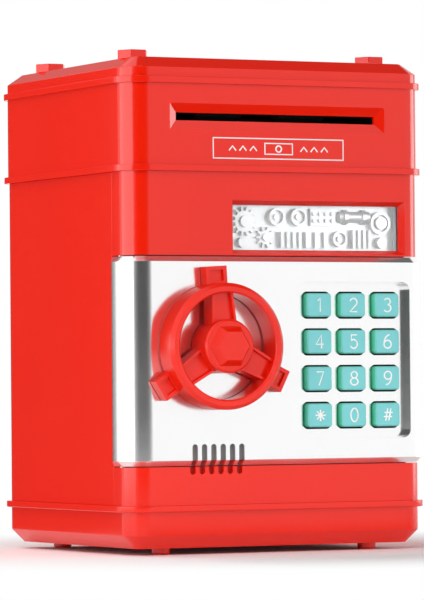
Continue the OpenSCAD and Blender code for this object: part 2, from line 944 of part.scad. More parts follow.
module head_shell() {
    y_head = -head_d / 2;
    pad_back = y_head + slot_deep + slot_pad;
    pad_w = slot_w / 2 + slot_slope + frame_edge;
    pad_h = slot_h / 2 + slot_slope + frame_edge;
    color(red)
        difference() {
            union() {
                difference() {
                    union() {
                        bevel_slab(head_w, head_d, head_r, z_head, z_top, 0, top_bevel, top_reach);
                        slab(rim_w, rim_d, rim_r, z_head, z_head + rim_h);
                        slab(rim_w, rim_d, rim_r, z_head + rib_up, z_head + rib_up + rim_h);
                    }
                    bevel_slab(head_w - 2 * wall, head_d - 2 * wall, head_r - wall,
                               z_head - cut, z_top - wall, 0, top_bevel - 1,
                               top_reach * (head_r - wall) / head_r);
                }
                block(-pad_w, pad_w, y_head + wall / 2, pad_back, slot_z - pad_h, slot_z + pad_h);
                four_quarters() {
                    z_rod(lug_x, lug_y, z_head, z_head + lug_h, lug_boss_r);
                    block(lug_x, head_w / 2 - wall / 2, lug_y - lug_rib / 2, lug_y + lug_rib / 2,
                          z_head, z_head + lug_h);
                    block(lug_x - lug_rib / 2, lug_x + lug_rib / 2, lug_y, head_d / 2 - wall / 2,
                          z_head, z_head + lug_h);
                }
                corners(boss_x, boss_y)
                    translate([0, 0, z_top - wall / 2])
                        cylinder(h = boss_h + wall / 2, r = boss_af / 2 / cos(30), $fn = 6);
            }
            slope_cut(0, slot_z, slot_w, slot_h, slot_slope, y_head, slot_deep);
            block(-slot_w / 2, slot_w / 2, y_head, pad_back + cut,
                  slot_z - slot_h / 2, slot_z + slot_h / 2);
            block(-coin_w / 2, coin_w / 2, coin_y - coin_t / 2, coin_y + coin_t / 2,
                  z_top - wall - cut, z_top + cut);
            corners(lug_x, lug_y)
                z_rod(0, 0, z_head - cut, z_head + lug_h - 1, screw_r);
        }
}

module head_screws() {
    color(steel)
        corners(lug_x, lug_y)
            translate([0, 0, deck_z - screw_head_h])
                screw(deck_t + lug_h - 2, screw_head_r - 0.2, screw_head_h);
}

module feed_deck() {
    color(black)
        difference() {
            union() {
                slab(inner_w - 2 * gap, inner_d - 2 * gap, inner_r - gap, deck_z, z_head);
                for (x = [-1, 1], y = [board_y0 + board_post_in, board_y1 - board_post_in])
                    z_rod(x * (board_w / 2 - board_post_in), y, z_head, z_head + board_up, board_post_r);
            }
            window_room();
            block(-drop_w / 2, drop_w / 2, drop_y0, drop_y1, deck_z - cut, z_head + cut);
            block(-chute_w / 2 - gap, chute_w / 2 + gap,
                  coin_y - chute_d / 2 - gap, coin_y + chute_d / 2 + gap, deck_z - cut, z_head + cut);
            corners(lug_x, lug_y)
                z_rod(0, 0, deck_z - cut, z_head + cut, screw_r);
        }
}

module coin_chute() {
    half_w = coin_w / 2 + chute_gap;
    half_d = coin_t / 2 + chute_gap;
    lip_w = chute_w / 2 + chute_lip;
    lip_d = chute_d / 2 + chute_lip;
    color(black)
        difference() {
            union() {
                block(-chute_w / 2, chute_w / 2, coin_y - chute_d / 2, coin_y + chute_d / 2,
                      deck_z, z_top - wall);
                block(-lip_w, lip_w, coin_y - lip_d, coin_y + lip_d, z_head, z_head + chute_wall);
            }
            block(-half_w, half_w, coin_y - half_d, coin_y + half_d, deck_z - cut, z_top);
        }
}

module main_board() {
    z = z_head + board_up;
    z_chip = z + board_t;
    plug_w = board_w / 7;
    color(green)
        block(-board_w / 2, board_w / 2, board_y0, board_y1, z, z_chip);
    color(black) {
        block(-1.4 * plug_w, 0.2 * plug_w, board_y0 + 0.3 * board_d, board_y0 + 0.7 * board_d,
              z_chip, z_chip + board_t);
        block(plug_w, 1.8 * plug_w, board_y0 + 0.2 * board_d, board_y0 + 0.45 * board_d,
              z_chip, z_chip + board_t);
    }
    color(white)
        for (i = [-1:1])
            translate([2.2 * i * plug_w, 0, 0])
                block(-plug_w / 2, plug_w / 2, board_y1 - 0.25 * board_d, board_y1 - board_d / 24,
                      z_chip, z_chip + 3 * board_t);
    color(steel)
        for (i = [0, 1])
            z_rod((2.4 + 0.6 * i) * plug_w, board_y0 + 0.65 * board_d, z_chip, z_chip + 4 * board_t,
                  0.22 * plug_w);
}

// Bill feed

module roller_brackets() {
    rear = motor_y + bracket_edge;
    foot_x1 = bracket_x + bracket_t + bracket_lip;
    color(steel)
        for (side = [0, 1])
            mirror([side, 0, 0])
                difference() {
                    union() {
                        block(bracket_x, bracket_x + bracket_t, bracket_front, rear,
                              z_head, pinch_z + roller_r);
                        block(bracket_x, foot_x1, bracket_front, rear, z_head, z_head + bracket_foot);
                    }
                    for (z = [drive_z, pinch_z])
                        x_rod(bracket_x - cut, bracket_x + bracket_t + cut, roller_y, z,
                              roller_shaft_r + run_gap);
                    if (side == 0)
                        x_rod(bracket_x - cut, bracket_x + bracket_t + cut, motor_y, motor_z,
                              motor_shaft_r + 0.5);
                }
}

module bill_guide() {
    front = -head_d / 2 + slot_deep + slot_pad + gap;
    rear = drop_y0 - 1;
    clear = roller_r + 1;
    color(black) {
        for (span = [[front, roller_y - clear], [roller_y + clear, rear]])
            block(-bracket_x, bracket_x, span[0], span[1], guide_top - guide_t, guide_top);
        for (side = [0, 1])
            mirror([side, 0, 0])
                block(bracket_x - cheek_t, bracket_x, front, rear, guide_top - guide_t, guide_top + cheek_up);
    }
}

module bill_sensor() {
    rear = roller_y - roller_r - 2;
    color(black)
        block(-sensor_w / 2, sensor_w / 2, rear - sensor_d, rear,
              guide_top - guide_t - sensor_h, guide_top - guide_t);
}

module roller_shaft(z) {
    color(steel)
        x_rod(-bracket_x - bracket_t - shaft_end, gear_x + gear_t + shaft_end, roller_y, z, roller_shaft_r);
}

module roller_sleeves(z) {
    color(black)
        for (x = [-sleeve_out, sleeve_in])
            difference() {
                x_rod(x, x + sleeve_out - sleeve_in, roller_y, z, roller_r);
                x_rod(x - cut, x + sleeve_out + cut, roller_y, z, roller_shaft_r);
            }
}

module roller_gear(z, phase) {
    color(white)
        translate([0, roller_y, z])
            difference() {
                along_x(gear_x, gear_x + gear_t)
                    rotate(phase)
                        gear_outline(feed_teeth, feed_m, feed_play);
                x_rod(gear_x - cut, gear_x + gear_t + cut, 0, 0, roller_shaft_r);
            }
}

module feed_motor() {
    color(steel)
        difference() {
            x_rod(bracket_x - motor_l, bracket_x, motor_y, motor_z, motor_r);
            x_rod(bracket_x - motor_l / 2, bracket_x + cut, motor_y, motor_z, motor_shaft_r + run_gap);
        }
}

module motor_pinion() {
    color(brass)
        translate([0, motor_y, motor_z]) {
            along_x(gear_x, gear_x + gear_t)
                rotate(motor_angle + 180 + 180 / motor_teeth)
                    gear_outline(motor_teeth, feed_m, feed_play);
            x_rod(bracket_x - motor_l / 2 + gap, gear_x + gear_t / 2, 0, 0, motor_shaft_r);
        }
}

// Door

// Cuts the hinge edge of the door to a full round about the hinge line
module hinge_round() {
    difference() {
        children();
        difference() {
            block(-body_w, hinge_x, hinge_y, body_d, door_z0 - cut, door_z1 + cut);
            z_rod(hinge_x, hinge_y, door_z0 - 2 * cut, door_z1 + 2 * cut, knuckle_r);
        }
    }
}

module each_liner_screw() {
    for (x = [hinge_x + knuckle_r + liner_screw_in, rim_w / 2 - wall - liner_post_r],
         z = [door_z0 + liner_screw_in, door_z1 - liner_screw_in])
        translate([x, 0, z])
            children();
}

module door_shell() {
    color(silver)
        difference() {
            union() {
                hinge_round()
                    difference() {
                        intersection() {
                            bevel_slab(rim_w, rim_d, rim_r, door_z0, door_z1, door_bevel, door_bevel,
                                       door_bevel);
                            block(-body_w, body_w, -body_d, door_back, 0, z_top);
                        }
                        difference() {
                            slab(rim_w - 2 * wall, rim_d - 2 * wall, rim_r - wall,
                                 door_z0 + wall, door_z1 - wall);
                            z_rod(hinge_x, hinge_y, door_z0, door_z1, knuckle_r);
                        }
                    }
                along_y(y_face + wall / 2, pad_floor_y + pad_floor_t)
                    translate([pad_x, pad_z])
                        round_rect(pad_w + 2 * wall, pad_h + 2 * wall, pad_r + wall);
                y_rod(wheel_x, y_face + wall / 2, bush_end, wheel_z, bush_r + bush_wall);
                y_rod(speaker_x, y_face + wall / 2, y_face + wall + speaker_lip, speaker_z,
                      speaker_r + speaker_collar);
                intersection() {
                    each_liner_screw()
                        y_rod(0, y_face + wall / 2, liner_y0, 0, liner_post_r);
                    slab(rim_w - wall, rim_d - wall, rim_r - wall / 2,
                         door_z0 + wall / 2, door_z1 - wall / 2);
                }
            }
            along_y(y_face - cut, pad_floor_y)
                translate([pad_x, pad_z])
                    round_rect(pad_w, pad_h, pad_r);
            for (i = [0:11])
                along_y(pad_floor_y - cut, pad_floor_y + pad_floor_t + cut)
                    translate(key_spot(i))
                        round_rect(key_w + 2 * key_gap, key_h + 2 * key_gap, key_r + key_gap);
            y_rod(wheel_x, y_face - cut, bush_end + cut, wheel_z, bush_r);
            y_rod(speaker_x, y_face + wall, y_face + wall + speaker_lip + cut, speaker_z, speaker_r + 0.2);
            each_vent() {
                along_y(y_face - cut, y_face + wall + 0.1)
                    vent_outline(door_z0 - cut, door_z0 + vent_h);
                block(-vent_w / 2, vent_w / 2, y_face - cut, y_face + vent_in,
                      door_z0 - cut, door_z0 + wall + 0.1);
            }
            each_liner_screw()
                y_rod(0, liner_y0 - liner_screw_l, liner_y0 + cut, 0, screw_r);
            z_rod(hinge_x, hinge_y, door_z0 - cut, door_z0 + pin_grip, hinge_pin_r);
            z_rod(hinge_x, hinge_y, door_z1 - pin_grip, door_z1 + cut, hinge_pin_r);
        }
}

module hinge_pins() {
    color(steel) {
        z_rod(hinge_x, hinge_y, band_low - ear_h + 0.5, door_z0 + pin_grip, hinge_pin_r);
        z_rod(hinge_x, hinge_y, door_z1 - pin_grip, band_high + ear_h - 0.5, hinge_pin_r);
    }
}

module door_liner() {
    color(black)
        difference() {
            union() {
                block(hinge_x + knuckle_r + gap, rim_w / 2 - wall - gap, liner_y0, liner_y1,
                      door_z0 + wall + gap, door_z1 - wall - gap);
                for (x = [-1, 1], z = [-1, 1])
                    y_rod(pad_x + x * (pad_w / 2 - post_in), mat_y + mat_t + board_t, liner_y0 + cut,
                          pad_z + z * (pad_h / 2 - post_in), post_r);
            }
            y_rod(wheel_x, liner_y0 - cut, liner_y1 + cut, wheel_z, shaft_r + gap);
            each_liner_screw() {
                y_rod(0, liner_y0 - cut, liner_y1 + cut, 0, screw_r);
                y_rod(0, liner_y1 - liner_screw_head, liner_y1 + cut, 0, screw_head_r);
            }
        }
}

module liner_screws() {
    color(steel)
        each_liner_screw()
            translate([0, liner_y1, 0])
                rotate([90, 0, 0])
                    screw(liner_screw_l, screw_head_r - 0.2, liner_screw_head);
}

module wheel_bush() {
    color(brass)
        difference() {
            union() {
                y_rod(wheel_x, y_face - bush_flange_t, y_face, wheel_z, bush_r + bush_wall);
                y_rod(wheel_x, y_face, bush_end, wheel_z, bush_r);
            }
            y_rod(wheel_x, y_face - cut, bush_end + cut, wheel_z, shaft_r + run_gap);
        }
}

module speaker() {
    color(black)
        difference() {
            y_rod(speaker_x, y_face + wall, y_face + wall + speaker_t, speaker_z, speaker_r);
            translate([speaker_x, y_face + wall - 0.01, speaker_z])
                rotate([-90, 0, 0])
                    cylinder(h = cone_deep, r1 = speaker_r - 1.5, r2 = speaker_r / 3);
        }
}

// Keypad

function key_spot(i) = [pad_x + (i % 3 - 1) * key_step_x, pad_z + (1.5 - floor(i / 3)) * key_step_z];

module key(i) {
    place = key_spot(i);
    color(teal)
        translate([place[0], key_back, place[1]])
            rotate([90, 0, 0]) {
                bevel_slab(key_w, key_h, key_r, 0, key_back - y_face - key_low, 0, key_bevel, key_bevel);
                slab(key_w + 2 * key_flange, key_h + 2 * key_flange, key_r, 0, key_flange_t);
            }
}

module keypad_mat() {
    color("#8f9498") {
        along_y(mat_y, mat_y + mat_t)
            translate([pad_x, pad_z])
                round_rect(pad_w - 2 * mat_edge, pad_h - 2 * mat_edge, pad_r);
        for (i = [0:11])
            translate([key_spot(i)[0], mat_y + mat_t / 2, key_spot(i)[1]])
                rotate([90, 0, 0])
                    cylinder(h = dome_h + mat_t / 2, r1 = dome_r, r2 = dome_top_r);
    }
}

module keypad_board() {
    color(green)
        along_y(mat_y + mat_t, mat_y + mat_t + board_t)
            translate([pad_x, pad_z])
                round_rect(pad_w - 2 * mat_edge, pad_h - 2 * mat_edge, pad_r);
}

// Handwheel and lock

// Everything on the wheel is drawn facing up and then turned to face forward
module handwheel() {
    inner = ring_r - ring_w;
    spoke_top = ring_d - spoke_low;
    lug_top = ring_d - lug_low;
    lug_in_w = lug_w - 2 * lug_rim;
    color(red)
        translate([wheel_x, wheel_back, wheel_z])
            rotate([90, 0, 0])
                difference() {
                    union() {
                        rotate_extrude()
                            polygon([[inner, ring_edge], [inner + ring_edge, 0], [ring_r - ring_edge, 0],
                                     [ring_r, ring_edge], [ring_r, ring_d - ring_bevel],
                                     [ring_r - ring_bevel, ring_d], [inner + ring_edge, ring_d],
                                     [inner, ring_d - ring_edge]]);
                        cylinder(h = ring_d + hub_up, r = hub_r);
                        translate([0, 0, ring_d + hub_up])
                            cylinder(h = hub_bevel, r1 = hub_r, r2 = hub_r - hub_bevel);
                        translate([0, 0, ring_d + hub_up + hub_bevel])
                            cylinder(h = hub_nose, r1 = hub_hex, r2 = hub_hex - hub_taper, $fn = 6);
                        each_spoke() {
                            translate([0, 0, spoke_up])
                                linear_extrude(spoke_top - spoke_up)
                                    spoke_outline(hub_r - 1.5, inner + 1, 0);
                            block(ring_r - 1, lug_r, -lug_w / 2, lug_w / 2, 0, lug_top);
                        }
                    }
                    each_spoke() {
                        translate([0, 0, spoke_top - channel_deep])
                            linear_extrude(channel_deep + cut)
                                spoke_outline(hub_r - 0.2, inner + 0.2, spoke_rim);
                        block(ring_r + 0.8, lug_r - lug_rim, -lug_in_w / 2, lug_in_w / 2,
                              lug_top - lug_deep, lug_top + cut);
                    }
                    translate([0, 0, -cut]) {
                        cylinder(h = shaft_grip + cut, r = shaft_r);
                        cylinder(h = flange_room + cut, r = bush_r + bush_wall + gap);
                    }
                }
}

module each_spoke() {
    for (i = [0:2])
        rotate(90 + spoke_turn + 120 * i)
            children();
}

// Spoke that narrows towards the ring, drawn in from its edges
module spoke_outline(r0, r1, inset) {
    half_hub = spoke_w / 2 - inset;
    half_ring = half_hub - spoke_taper;
    polygon([[r0, -half_hub], [r1, -half_ring], [r1, half_ring], [r0, half_hub]]);
}

module wheel_shaft() {
    color(steel)
        y_rod(wheel_x, wheel_back - shaft_grip, bolt_y1 + 1, wheel_z, shaft_r);
}

module shaft_clip() {
    color(steel)
        difference() {
            y_rod(wheel_x, bush_end + gap, bush_end + gap + clip_t, wheel_z, shaft_r + bush_wall);
            y_rod(wheel_x, bush_end, bush_end + gap + clip_t + cut, wheel_z, shaft_r);
        }
}

module bolt_pinion() {
    color(brass)
        translate([wheel_x, 0, wheel_z])
            difference() {
                along_y(bolt_y0 - 0.5, bolt_y1 + 0.5)
                    rotate(-90)
                        gear_outline(pinion_teeth, rack_m, rack_play);
                y_rod(0, bolt_y0 - cut, bolt_y1 + cut, 0, shaft_r);
            }
}

module lock_bolt() {
    pitch = PI * rack_m;
    pitch_z = wheel_z - pinion_r;
    half = (pitch / 2 - rack_play) / 2;
    low = half + rack_ded * tan(pressure);
    tip = half - rack_add * tan(pressure);
    notch = plunger_r + 0.5;
    color(steel)
        difference() {
            union() {
                block(bolt_tail, bolt_tip, bolt_y0, bolt_y1, bolt_z0, bolt_top);
                for (k = [-5:1])
                    along_y(bolt_y0, bolt_y1)
                        translate([wheel_x + (k + 0.5) * pitch, pitch_z])
                            polygon([[-low, -rack_ded - 0.2], [low, -rack_ded - 0.2], [low, -rack_ded],
                                     [tip, rack_add], [-tip, rack_add], [-low, -rack_ded]]);
            }
            for (x = [plunger_x, plunger_x - throw])
                block(x - notch, x + notch, bolt_y0 - cut, bolt_y1 + cut,
                      bolt_z0 - cut, bolt_z0 + plunger_lift + 0.4);
        }
}

module bolt_guides() {
    color(white)
        for (x = guide_x)
            difference() {
                block(x - guide_w / 2, x + guide_w / 2, liner_y1, bolt_y1 + slide_gap + guide_back,
                      bolt_z0 - slide_gap - guide_wall, bolt_top + slide_gap + guide_wall);
                block(x - guide_w / 2 - cut, x + guide_w / 2 + cut,
                      bolt_y0 - slide_gap, bolt_y1 + slide_gap, bolt_z0 - slide_gap, bolt_top + slide_gap);
            }
}

module lock_solenoid() {
    color("#4a4d52")
        difference() {
            block(plunger_x - coil_w / 2, plunger_x + coil_w / 2, liner_y1, bolt_y1 + guide_back,
                  coil_z0, bolt_z0 - coil_gap);
            z_rod(plunger_x, plunger_y, coil_z0 + coil_floor, bolt_z0, plunger_r + run_gap);
        }
}

module lock_plunger() {
    color(steel)
        z_rod(plunger_x, plunger_y, coil_z0 + coil_floor + gap, bolt_z0 - coil_gap / 2, plunger_r);
}

in_place() base_tray();
in_place() feet();
in_place() battery_box();
in_place() battery_contacts();
in_place() battery_cells();
in_place() battery_door();
in_place() battery_screw();
in_place() base_screws();
in_place() rear_shell();
in_place() front_frame();
in_place() strike_plate();
in_place() window_pane();
in_place() window_relief();
in_place() head_shell();
in_place() head_screws();
in_place() feed_deck();
in_place() roller_brackets();
in_place() bill_guide();
in_place() bill_sensor();
in_place() coin_chute();
in_place() main_board();
in_place() feed_motor();
in_place() door_shell();
in_place() door_liner();
in_place() liner_screws();
in_place() hinge_pins();
in_place() wheel_bush();
in_place() bolt_guides();
in_place() keypad_board();
in_place() keypad_mat();
in_place() speaker();
in_place() lock_solenoid();
in_place() handwheel();
in_place() wheel_shaft();
in_place() shaft_clip();
in_place() bolt_pinion();
in_place() lock_bolt();
in_place() lock_plunger();
in_place() roller_shaft(drive_z);  // drive_shaft
in_place() roller_sleeves(drive_z);  // drive_sleeves
in_place() roller_gear(drive_z, 0);  // drive_gear
in_place() roller_shaft(pinch_z);  // pinch_shaft
in_place() roller_sleeves(pinch_z);  // pinch_sleeves
in_place() roller_gear(pinch_z, 180 / feed_teeth);  // pinch_gear
in_place() motor_pinion();
for (i = [0:len(KEYS) - 1])
    in_place() key(i);
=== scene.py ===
"""Looks of the toy cash machine savings bank: moulded shells with rounded edges, keys with their
legends, finishes, studio and camera. Metres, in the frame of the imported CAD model."""

import json
import math

import bmesh
import bpy
from mathutils import Euler, Matrix, Vector


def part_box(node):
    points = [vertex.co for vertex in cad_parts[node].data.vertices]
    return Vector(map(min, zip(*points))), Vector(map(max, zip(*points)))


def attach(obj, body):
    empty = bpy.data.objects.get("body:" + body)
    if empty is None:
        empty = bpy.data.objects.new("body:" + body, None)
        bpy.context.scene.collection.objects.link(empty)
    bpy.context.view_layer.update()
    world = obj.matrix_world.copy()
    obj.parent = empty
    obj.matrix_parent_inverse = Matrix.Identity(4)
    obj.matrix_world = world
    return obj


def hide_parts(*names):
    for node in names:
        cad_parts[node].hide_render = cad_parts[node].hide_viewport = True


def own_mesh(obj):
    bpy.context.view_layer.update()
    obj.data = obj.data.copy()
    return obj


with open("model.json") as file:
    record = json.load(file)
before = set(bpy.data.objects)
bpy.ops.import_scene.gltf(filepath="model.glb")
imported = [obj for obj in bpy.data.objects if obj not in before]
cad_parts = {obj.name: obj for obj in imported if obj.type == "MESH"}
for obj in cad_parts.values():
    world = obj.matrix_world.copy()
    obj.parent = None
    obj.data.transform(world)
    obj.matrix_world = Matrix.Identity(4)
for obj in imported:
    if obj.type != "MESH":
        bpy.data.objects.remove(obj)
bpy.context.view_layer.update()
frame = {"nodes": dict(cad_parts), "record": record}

MM = 0.001
BODY_OF = {
    node: body
    for body, nodes in frame["record"]["behaviour"]["bodies"].items()
    for node in nodes
}


# Legends of the keys as strokes in millimetres about the middle of a key


def arc(x, z, wide, tall, start, end):
    """Points on part of an oval, with the angles in degrees from the right."""
    count = max(2, round(abs(end - start) / 15))
    turns = [math.radians(start + (end - start) * i / count) for i in range(count + 1)]
    return [(x + wide * math.cos(turn), z + tall * math.sin(turn)) for turn in turns]


def ray(turn, reach):
    """A stroke through the middle."""
    x, z = reach * math.cos(math.radians(turn)), reach * math.sin(math.radians(turn))
    return [(-x, -z), (x, z)]


LEGENDS = {
    "key_1": [[(-0.8, 1.6), (0.3, 2.6), (0.3, -2.6)]],
    "key_2": [arc(0, 1.1, 1.55, 1.5, 165, -35) + [(-1.6, -2.6), (1.6, -2.6)]],
    "key_3": [arc(0, 1.35, 1.35, 1.25, 150, -80), arc(0, -1.2, 1.6, 1.4, 85, -150)],
    "key_4": [[(0.7, -2.6), (0.7, 2.6), (-1.7, -1.0), (1.7, -1.0)]],
    "key_5": [[(1.4, 2.6), (-1.1, 2.6)] + arc(-0.1, -0.9, 1.6, 1.7, 130, -150)],
    "key_6": [arc(0, -1.05, 1.6, 1.55, 0, 360), arc(0.9, -1.05, 2.5, 3.65, 90, 180)],
    "key_7": [[(-1.5, 2.6), (1.5, 2.6), (-0.5, -2.6)]],
    "key_8": [arc(0, 1.35, 1.3, 1.25, 0, 360), arc(0, -1.25, 1.6, 1.35, 0, 360)],
    "key_9": [arc(0, 1.05, 1.6, 1.55, 0, 360), arc(-0.9, 1.05, 2.5, 3.65, 0, -90)],
    "key_star": [ray(turn, 2.2) for turn in (0, 45, 90, 135)],
    "key_0": [arc(0, 0, 1.6, 2.6, 0, 360)],
    "key_hash": [
        [(-1.2, -2.4), (-0.2, 2.4)], [(0.2, -2.4), (1.2, 2.4)],
        [(-1.7, 0.8), (2.0, 0.8)], [(-2.0, -0.8), (1.7, -0.8)],
    ],
}
STROKE = 0.68
PRINT_RISE = 0.05

# Sign under the bill slot, in millimetres: half sizes of its frame and bill, and its arrows
SIGN_W, SIGN_H = 28.3, 3.9
BILL_W, BILL_H = 6, 2.1
BILL_DOT = 1.2
ARROWS = 3
ARROW_FIRST, ARROW_STEP = 11, 4.5
ARROW_W, ARROW_H = 1.5, 0.9

# Heights and faces that the pieces share, taken from the CAD nodes
BODY_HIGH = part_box("rear_shell")[1]
HEAD_LOW, HEAD_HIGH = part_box("head_shell")
DOOR_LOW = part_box("door_shell")[0]
FRAME_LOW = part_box("front_frame")[0]
MID_Y = (HEAD_LOW.y + HEAD_HIGH.y) / 2
WALL = 2 * MM
SLACK = 0.1 * MM

# How far in from the box an edge still counts as outside, and the sign's place on the head
HEAD_SKIN = 3.3 * MM
HEAD_CAP = 5.2 * MM
BODY_SKIN = 1.8 * MM
SIGN_IN = 1.5 * MM
SIGN_UP = 9.1 * MM

# Rounded edges, the angles in degrees: an edge that bends more is rounded, one that bends less is smooth
ROUND = 0.35 * MM
SEAM_ROUND = 0.25 * MM
DOOR_ROUND = 0.4 * MM
ROUND_FROM = 32
SMOOTH_TO = 27

# Shares of a normal along a direction, above which a face looks that way and below which it is a flank
SQUARE_ON = 0.9
ALONGSIDE = 0.5

# A copied CAD mesh: points this near are one, and faces this nearly level, in degrees, are one face
MERGE = 0.001 * MM
LEVEL = 0.5

# Sound slots, in line with the speaker, and the screens set back in them, dark as painted shade
VENT_COUNT = 6
VENT_STEP = 4 * MM
VENT_W = 2.3 * MM
VENT_H = 8.2 * MM
VENT_DROP = 3 * MM
DOOR_GAP = 0.4 * MM
SCREEN_T = 0.3 * MM
SCREEN_GAP = 0.06 * MM
SCREEN_END = 0.48
DOOR_SCREEN_IN = 1.6 * MM
FRAME_SCREEN_IN = 1.65 * MM
VENT_X = sum(corner.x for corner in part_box("speaker")) / 2

# Pocket with the keys, the rounded front of a key and its flange, which is black as painted shade in the
# gaps round the keys
KEYS_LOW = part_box("key_star")[0]
KEYS_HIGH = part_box("key_3")[1]
POCKET_AHEAD = 3.2 * MM
POCKET_Y = KEYS_HIGH.y - POCKET_AHEAD
KEY_FRONT = 1.5 * MM
KEY_FLANGE = 1.1 * MM

# Back of the handwheel, whose edges stay sharp
WHEEL_BACK = 0.7 * MM

# Mat under the keys: its sheet and the reach of a dome
MAT_T = 0.8 * MM
DOME_R = 4.5 * MM


# Shader expressions


class Value:
    """A shader socket that takes part in arithmetic; each operation adds a Math node."""

    def __init__(self, tree, socket):
        self.tree = tree
        self.socket = socket

    def _math(self, operation, first, second):
        return self.tree.node("ShaderNodeMath", {"operation": operation}, {0: first, 1: second})

    def __add__(self, other):
        return self._math("ADD", self, other)

    def __radd__(self, other):
        return self._math("ADD", other, self)

    def __sub__(self, other):
        return self._math("SUBTRACT", self, other)

    def __rsub__(self, other):
        return self._math("SUBTRACT", other, self)

    def __mul__(self, other):
        return self._math("MULTIPLY", self, other)

    def __rmul__(self, other):
        return self._math("MULTIPLY", other, self)

    def __or__(self, other):
        return self._math("MAXIMUM", self, other)


class Tree:
    """A node tree, to which shader expressions add their nodes."""

    def __init__(self, tree):
        self.tree = tree

    def node(self, kind, settings=None, inputs=None, output=0):
        made = self.tree.nodes.new(kind)
        for setting, value in (settings or {}).items():
            setattr(made, setting, value)
        for socket, value in (inputs or {}).items():
            self.feed(made.inputs[socket], value)
        return Value(self, made.outputs[output])

    def feed(self, socket, value):
        if isinstance(value, Value):
            self.tree.links.new(value.socket, socket)
        else:
            socket.default_value = value

    def shown(self):
        """One for what the camera sees directly, in a reflection or through a clear pane."""
        path = self.tree.nodes.new("ShaderNodeLightPath")
        camera, glossy, clear = (
            Value(self, path.outputs[name])
            for name in ("Is Camera Ray", "Is Glossy Ray", "Is Transmission Ray")
        )
        return camera | glossy | clear


class Finish(Tree):
    """A material under construction, with one principled shader."""

    def __init__(self, name):
        self.material = bpy.data.materials.new(name)
        self.material.use_nodes = True
        super().__init__(self.material.node_tree)
        self.shader = self.tree.nodes["Principled BSDF"]

    def place(self, scale=(1, 1, 1)):
        """Object coordinates, stretched for a pattern."""
        spot = self.node("ShaderNodeTexCoord", output="Object")
        return self.node("ShaderNodeMapping", None, {"Vector": spot, "Scale": scale})

    def noise(self, scale, detail=2.0, roughness=0.5, stretch=(1, 1, 1)):
        return self.node(
            "ShaderNodeTexNoise",
            None,
            {"Vector": self.place(stretch), "Scale": scale, "Detail": detail, "Roughness": roughness},
        )

    def cells(self, scale):
        return self.node(
            "ShaderNodeTexVoronoi", None, {"Vector": self.place(), "Scale": scale}, output="Distance"
        )

    def between(self, factor, low, high):
        """A number or a colour that runs from low to high with the factor."""
        if isinstance(low, tuple):
            return self.node(
                "ShaderNodeMix",
                {"data_type": "RGBA"},
                {0: factor, 6: (*low, 1), 7: (*high, 1)},
                output=2,
            )
        return factor * (high - low) + low

    def bump(self, height, strength, depth):
        return self.node(
            "ShaderNodeBump", None, {"Strength": strength, "Distance": depth, "Height": height}
        )

    def done(self, **sockets):
        for name, value in sockets.items():
            socket = self.shader.inputs[name.replace("_", " ").title().replace("Ior", "IOR")]
            if isinstance(value, tuple) and len(value) == 3:
                value = (*value, 1)
            self.feed(socket, value)
        return self.material


# Finishes


def moulded_red(name, glossy, dull):
    finish = Finish(name)
    drift = finish.noise(28, detail=3)
    grain = finish.noise(2600, detail=2)
    flow = finish.noise(60, detail=2, stretch=(1, 1, 0.25))
    colour = finish.between(drift, (0.79, 0.011, 0.001), (0.83, 0.015, 0.002))
    return finish.done(
        base_color=colour,
        roughness=finish.between(flow, glossy, dull),
        normal=finish.bump(grain + flow * 6, strength=0.05, depth=0.04 * MM),
    )


def silver_lacquer():
    finish = Finish("silver_lacquer")
    flake = finish.cells(5200)
    drift = finish.noise(45, detail=3)
    sag = finish.noise(90, detail=2)
    colour = finish.between(flake, (0.945, 0.948, 0.95), (0.985, 0.987, 0.99))
    return finish.done(
        base_color=colour,
        metallic=0.95,
        roughness=finish.between(drift, 0.13, 0.18),
        normal=finish.bump(flake * 0.4 + sag * 4, strength=0.03, depth=0.04 * MM),
    )


def key_teal(name, dark, light):
    finish = Finish(name)
    drift = finish.noise(120, detail=2)
    grain = finish.noise(3000, detail=2)
    return finish.done(
        base_color=finish.between(drift, dark, light),
        roughness=finish.between(drift, 0.32, 0.42),
        normal=finish.bump(grain, strength=0.08, depth=0.04 * MM),
    )


def printed_white():
    finish = Finish("printed_white")
    screen = finish.noise(4200, detail=2)
    return finish.done(
        base_color=finish.between(screen, (0.88, 0.89, 0.89), (0.94, 0.94, 0.94)),
        roughness=finish.between(screen, 0.38, 0.5),
        normal=finish.bump(screen, strength=0.08, depth=0.03 * MM),
    )


def clear_styrene():
    finish = Finish("clear_styrene")
    flow = finish.noise(40, detail=2, stretch=(0.4, 1, 1))
    return finish.done(
        base_color=(0.97, 0.985, 0.99),
        roughness=finish.between(flow, 0.01, 0.04),
        transmission_weight=1.0,
        ior=1.46,
    )


def plated_relief():
    finish = Finish("plated_relief")
    drift = finish.noise(160, detail=3)
    return finish.done(
        base_color=finish.between(drift, (0.94, 0.943, 0.945), (0.98, 0.981, 0.982)),
        metallic=0.4,
        roughness=finish.between(drift, 0.26, 0.34),
        normal=finish.bump(drift, strength=0.05, depth=0.05 * MM),
    )


# Black plastic for the black parts, and painted shade: it also colours the key holes' walls and the keys'
# flanges black, so the gaps round the keys look dark.
def black_plastic_and_gap_shade():
    finish = Finish("black_plastic_and_gap_shade")
    grain = finish.noise(1400, detail=3)
    return finish.done(
        base_color=finish.between(grain, (0.008, 0.0085, 0.009), (0.018, 0.0185, 0.02)),
        roughness=finish.between(grain, 0.5, 0.66),
        normal=finish.bump(grain, strength=0.18, depth=0.08 * MM),
    )


def slot_shade_finish(name, dark, light):
    """Painted shade: a dark matt skin at the bottom of a sound slot, which little light reaches."""
    finish = Finish(name)
    grain = finish.noise(1800, detail=2)
    return finish.done(
        base_color=finish.between(grain, dark, light),
        roughness=finish.between(grain, 0.55, 0.7),
        normal=finish.bump(grain, strength=0.12, depth=0.05 * MM),
    )


